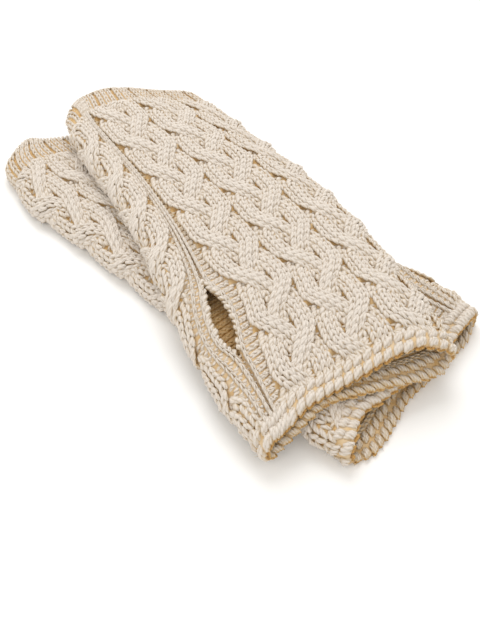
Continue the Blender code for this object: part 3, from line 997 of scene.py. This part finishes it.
# How much darker the inner face of the hem is painted, as shade inside the finger opening.
INNER_FACE_PAINTED_SHADE = 0.25
PLY_SIZE = 1.2


def finger_edge(mitten, rng):
    """Two ridges of plump slanting bumps on each face, the second at the rim, each bump three plies thick."""
    yarns = Yarns()
    start = row_at(EDGE_START)
    band = row_at(1.0) - start
    for face, ridges, high in HEM_RIDGES:
        for number, share in enumerate(ridges):
            at = (np.arange(HEM_BUMPS) + 0.5 * number)[:, None] * STITCHES / HEM_BUMPS
            loose = rng.normal(0.0, 0.08, (HEM_BUMPS, 1))
            full = rng.normal(1.0, 0.06, (HEM_BUMPS, 1))
            for sideways, sunk in BUMP_PLIES:
                row = start + band * share + BUMP[None, :, 1] + 0.25 * sideways + loose
                stitch = at + BUMP[None, :, 0] + sideways + loose
                height = high * (BUMP[None, :, 2] + sunk)
                points, normal, s = placed(mitten, stitch, row, face * (WALL / 2 + height))
                fuller = UNDER_HIGH + (1.0 - UNDER_HIGH) * top_share(s)
                size = BUMP[None, :, 3] * full * fuller * PLY_SIZE
                # Painted shade: lower and sunk plies, and all of the inner face, are painted darker and more
                # golden.
                painted_shade = 0.56 + 0.22 * BUMP[None, :, 2] + 0.2 * sunk - (INNER_FACE_PAINTED_SHADE if face < 0 else 0.0)
                yarns.add(points, normal * face, size, high * size, painted_shade, rng.random(HEM_BUMPS))
    return yarns


# Where the painted shade of the golden ladder strip on the thumb side fades into the pale fabric, in shares
# of the length.
SHADE_FADES_FROM = 0.40
SHADE_FADES_OVER = 0.25


def shade_faded(share):
    """How far the painted shade of the golden ladder strip on the thumb side has faded, from the cuff to the
    pale fabric at the slit.
    """
    return smooth_step((share - SHADE_FADES_FROM) / SHADE_FADES_OVER)


# The base shell: its points round and along, how far it lies inside the wall's faces, and its painted shade
# values: the backing that shows between stitches is painted dark and golden as shade, its inside darker
# still, and less so at the hem and on these stitches beside the slit.
SHELL_ROUND = 73
SHELL_ALONG = 96
SHELL_ENDS = (0.004, 0.997)
SHELL_OUTER_INSET = 0.38
SHELL_INNER_INSET = 0.35
SHELL_RELIEF = 1.05
SHELL_HEM_RELIEF = 0.8
SHELL_PAINTED_SHADE = 0.28
SHELL_INNER_PAINTED_SHADE = 0.22
SHELL_SHADE_LIFT = 0.35
SHELL_INNER_SHADE_LIFT = 0.25
LESS_SHADED_STITCHES = (25.0, 36.0)


def base_shell(mitten, material):
    """The fabric under the stitches as one thin closed shell: a tube, slit open for the thumb."""
    stitches = SLIT + np.linspace(SLIT_CLEAR, STITCHES - SLIT_CLEAR, SHELL_ROUND)
    shares = np.linspace(*SHELL_ENDS, SHELL_ALONG)
    rise = mitten_rise(stitches[None, :], shares[:, None])
    point, normal, s = wall_frame(mitten, *np.broadcast_arrays(stitches[None, :], shares[:, None]))
    lift = rise * top_share(s)
    outer = point + normal * (WALL / 2 - SHELL_OUTER_INSET + SHELL_RELIEF * lift)[..., None]
    inner = point - normal * (WALL / 2 - SHELL_INNER_INSET)
    rows, columns = rise.shape
    index = np.arange(rows * columns).reshape(rows, columns)
    low = index + rows * columns
    flip = mitten["thumb_side"] > 0

    def quads(grid, turned):
        a, b = grid[:-1, :-1], grid[:-1, 1:]
        c, d = grid[1:, 1:], grid[1:, :-1]
        cells = np.stack([a, b, c, d] if turned else [a, d, c, b], axis=-1)
        return cells.reshape(-1, 4)

    def rim(first, second, turned):
        cells = [first[:-1], first[1:], second[1:], second[:-1]]
        return np.stack(cells if turned else cells[::-1], axis=-1)

    faces = [
        quads(index, flip),
        quads(low, not flip),
        rim(index[0], low[0], not flip),
        rim(index[-1], low[-1], flip),
        rim(index[:, 0], low[:, 0], flip),
        rim(index[:, -1], low[:, -1], not flip),
    ]
    points = np.concatenate([outer.reshape(-1, 3), inner.reshape(-1, 3)])
    n = rows * columns
    place = np.mod(stitches, STITCHES)
    on_strip = (place > LESS_SHADED_STITCHES[0]) & (place < LESS_SHADED_STITCHES[1])
    beside_slit = on_strip[None, :] * shade_faded(shares)[:, None]
    at_hem = (shares > EDGE_START)[:, None] * np.ones(columns)[None, :]
    # Painted shade: the backing is painted paler where the relief lifts it, and where the hem and the slit
    # show it.
    outer_painted_shade = SHELL_PAINTED_SHADE + np.clip(lift * PAINTED_SHADE_BY_RISE, 0.0, 0.3)
    outer_painted_shade = outer_painted_shade + SHELL_SHADE_LIFT * np.maximum(beside_slit, at_hem)
    inner_painted_shade = np.full(n, SHELL_INNER_PAINTED_SHADE) + SHELL_INNER_SHADE_LIFT * at_hem.ravel()
    painted_shade = np.concatenate([outer_painted_shade.ravel(), inner_painted_shade])
    across = np.tile(np.tile(stitches, rows), 2) / 10
    uv = np.stack([across, np.tile(np.repeat(shares, columns), 2) * 8], axis=-1)
    return new_mesh(f"{mitten['name']}_base", points, faces, material, {"painted_shade": painted_shade, "uv": uv})


def mitten_rise(stitch, share):
    """Height over the wall of all the relief of a mitten, from the cuff to the finger edge."""
    body = body_rise(stitch, np.clip(share, CUFF_END, EDGE_START))
    rise = np.where(share < CUFF_END, cuff_rise(stitch, share), body)
    at_edge = SHELL_HEM_RELIEF * edge_rise(stitch, np.clip(share, EDGE_START, 1.0))
    return np.where(share > EDGE_START, at_edge, rise)


def maths(tree, operation, first, second=None, third=None):
    """A math node; each input is a number or the output of another node."""
    made = tree.nodes.new("ShaderNodeMath")
    made.operation = operation
    for socket, value in zip(made.inputs, (first, second, third)):
        if value is None:
            continue
        if isinstance(value, (int, float)):
            socket.default_value = value
        else:
            tree.links.new(value, socket)
    return made.outputs[0]


def ramp_of(tree, value, stops):
    """A colour ramp through these stops."""
    made = tree.nodes.new("ShaderNodeValToRGB")
    elements = made.color_ramp.elements
    while len(elements) < len(stops):
        elements.new(0.5)
    for element, (place, colour) in zip(elements, stops):
        element.position = place
        element.color = (*colour, 1.0)
    tree.links.new(value, made.inputs[0])
    return made.outputs[0]


# The plies of the yarn, and their turns in each centimetre of it.
PLIES = 3.0
PLY_TWIST = 3.5

# The grain of fine fibres, stretched along the yarn, and the broad blotches of the wool.
GRAIN_ROUND = 22.0
GRAIN_SLANT = 8.0
GRAIN_ALONG = 7.0
BLOTCH_SCALE = 55.0

# How much each of them moves the colour up or down its ramp, the plies painting shade into the grooves
# between them, and the height of the plies in metres.
PLY_GROOVE_SHADE = 0.36
GRAIN_SHARE = 0.22
BLOTCH_SHARE = 0.20
TONE_SHARE = 0.08
LEVEL_SHIFT = 0.46
PLY_RELIEF = 0.0005


def wool_material(name, stops, bump):
    """Twisted wool: plies round the yarn, fine fibres along it, and painted shade: more golden and darker the
    deeper it lies, and darker in the grooves between the plies.
    """
    material = bpy.data.materials.new(name)
    material.use_nodes = True
    tree = material.node_tree
    links = tree.links
    shader = tree.nodes["Principled BSDF"]
    shader.inputs["Roughness"].default_value = 0.85
    shader.inputs["Specular IOR Level"].default_value = 0.15
    shader.inputs["Sheen Weight"].default_value = 0.18
    shader.inputs["Sheen Roughness"].default_value = 0.55
    shader.inputs["Sheen Tint"].default_value = (1.0, 0.92, 0.78, 1.0)
    uv = tree.nodes.new("ShaderNodeUVMap")
    uv.uv_map = "yarn"
    split = tree.nodes.new("ShaderNodeSeparateXYZ")
    links.new(uv.outputs[0], split.inputs[0])
    twist = maths(tree, "MULTIPLY", split.outputs[1], PLY_TWIST)
    turns = maths(tree, "MULTIPLY_ADD", split.outputs[0], PLIES, twist)
    wave = maths(tree, "ABSOLUTE", maths(tree, "SINE", maths(tree, "MULTIPLY", turns, math.pi)))
    ply = maths(tree, "POWER", wave, 0.6)
    stretch = tree.nodes.new("ShaderNodeCombineXYZ")
    lengthways = maths(tree, "MULTIPLY", split.outputs[1], GRAIN_SLANT)
    links.new(maths(tree, "MULTIPLY_ADD", split.outputs[0], GRAIN_ROUND, lengthways), stretch.inputs[0])
    links.new(maths(tree, "MULTIPLY", split.outputs[1], GRAIN_ALONG), stretch.inputs[1])
    fibres = tree.nodes.new("ShaderNodeTexNoise")
    fibres.inputs["Scale"].default_value = 1.0
    fibres.inputs["Detail"].default_value = 3.0
    links.new(stretch.outputs[0], fibres.inputs["Vector"])
    place = tree.nodes.new("ShaderNodeTexCoord")
    blotch = tree.nodes.new("ShaderNodeTexNoise")
    blotch.inputs["Scale"].default_value = BLOTCH_SCALE
    blotch.inputs["Detail"].default_value = 2.0
    links.new(place.outputs["Object"], blotch.inputs["Vector"])
    painted_shade = tree.nodes.new("ShaderNodeAttribute")
    painted_shade.attribute_name = "painted_shade"
    tone = tree.nodes.new("ShaderNodeAttribute")
    tone.attribute_name = "tone"
    # Painted shade: the colour is looked up from the painted shade value, lowered in the grooves between the
    # plies.
    level = maths(tree, "MULTIPLY_ADD", ply, PLY_GROOVE_SHADE, painted_shade.outputs["Fac"])
    level = maths(tree, "MULTIPLY_ADD", fibres.outputs[0], GRAIN_SHARE, level)
    level = maths(tree, "MULTIPLY_ADD", blotch.outputs[0], BLOTCH_SHARE, level)
    level = maths(tree, "MULTIPLY_ADD", tone.outputs["Fac"], TONE_SHARE, level)
    level = maths(tree, "SUBTRACT", level, LEVEL_SHIFT)
    links.new(ramp_of(tree, level, stops), shader.inputs["Base Color"])
    height = maths(tree, "MULTIPLY_ADD", fibres.outputs[0], 0.5, ply)
    relief = tree.nodes.new("ShaderNodeBump")
    relief.inputs["Strength"].default_value = bump
    relief.inputs["Distance"].default_value = PLY_RELIEF
    links.new(height, relief.inputs["Height"])
    links.new(relief.outputs[0], shader.inputs["Normal"])
    return material


# Colours by painted shade, from the deepest to the highest: the deep end paints the golden shade of the
# crevices, and the backing's ramp is darker still.
WOOL_PAINTED_SHADE_STOPS = (
    (0.0, (0.62, 0.36, 0.115)),
    (0.25, (0.63, 0.425, 0.195)),
    (0.5, (0.625, 0.493, 0.325)),
    (0.75, (0.65, 0.56, 0.455)),
    (1.0, (0.71, 0.645, 0.58)),
)
BACKING_PAINTED_SHADE_STOPS = (
    (0.0, (0.48, 0.27, 0.085)),
    (0.3, (0.58, 0.38, 0.17)),
    (0.7, (0.64, 0.48, 0.29)),
    (1.0, (0.68, 0.55, 0.40)),
)


# The lights: name, place, size in metres, watts and colour.
LIGHTS = (
    ("key", (0.25, 0.55, 0.9), 0.7, 6.2, (0.97, 0.985, 1.0)),
    ("fill", (-0.8, -0.5, 0.8), 1.0, 2.5, (1.0, 0.98, 0.95)),
)
FLOOR_HALF = 3
WORLD_COLOUR = (1.0, 0.972, 0.925, 1.0)
WORLD_STRENGTH = 0.87


def stage_and_light():
    """A plain pale floor, an even sky and two soft lamps."""
    floor = bpy.data.meshes.new("floor")
    f = FLOOR_HALF
    floor.from_pydata([(-f, -f, 0), (f, -f, 0), (f, f, 0), (-f, f, 0)], [], [(0, 1, 2, 3)])
    ground = bpy.data.objects.new("floor", floor)
    bpy.context.scene.collection.objects.link(ground)
    paint = bpy.data.materials.new("floor_paint")
    paint.use_nodes = True
    shader = paint.node_tree.nodes["Principled BSDF"]
    shader.inputs["Base Color"].default_value = (0.93, 0.93, 0.93, 1.0)
    shader.inputs["Roughness"].default_value = 0.9
    shader.inputs["Specular IOR Level"].default_value = 0.1
    floor.materials.append(paint)
    world = bpy.data.worlds.new("studio")
    world.use_nodes = True
    sky = world.node_tree.nodes["Background"]
    sky.inputs[0].default_value = WORLD_COLOUR
    sky.inputs[1].default_value = WORLD_STRENGTH
    bpy.context.scene.world = world
    for label, place, size, watts, colour in LIGHTS:
        light = bpy.data.lights.new(label, "AREA")
        light.size = size
        light.energy = watts
        light.color = colour
        lamp = bpy.data.objects.new(label, light)
        lamp.location = place
        lamp.rotation_euler = (Vector((0, 0, 0)) - Vector(place)).to_track_quat("-Z", "Y").to_euler()
        bpy.context.scene.collection.objects.link(lamp)
    scene = bpy.context.scene
    scene.view_settings.view_transform = "Standard"
    scene.view_settings.look = "None"


# The camera: its focal length in heights of the picture, where it looks, from what way and how far off.
SENSOR = 36.0
FOCAL_LENGTH = 870.0 / 631.0
AZIMUTH = math.radians(-29.6)
ELEVATION = math.radians(50.0)
AIM = (-0.01497, -0.03491, 0.0)
DISTANCE = 0.399


def place_camera():
    """The camera that matches the photograph."""
    data = bpy.data.cameras.new("camera")
    data.lens = FOCAL_LENGTH * SENSOR
    data.sensor_width = SENSOR
    data.clip_start = 0.01
    camera = bpy.data.objects.new("camera", data)
    level = math.cos(ELEVATION)
    back = Vector((math.sin(AZIMUTH) * level, -math.cos(AZIMUTH) * level, math.sin(ELEVATION)))
    camera.location = Vector(AIM) + back * DISTANCE
    camera.rotation_euler = (-back).to_track_quat("-Z", "Y").to_euler()
    bpy.context.scene.collection.objects.link(camera)
    bpy.context.scene.camera = camera


place_camera()
stage_and_light()
wool = wool_material("cream_wool_painted_shade", WOOL_PAINTED_SHADE_STOPS, bump=0.65)
backing = wool_material("wool_backing_painted_shade", BACKING_PAINTED_SHADE_STOPS, bump=0.3)
for mitten in (LOWER, UPPER):
    knit_mitten(mitten, {"wool": wool, "base": backing})
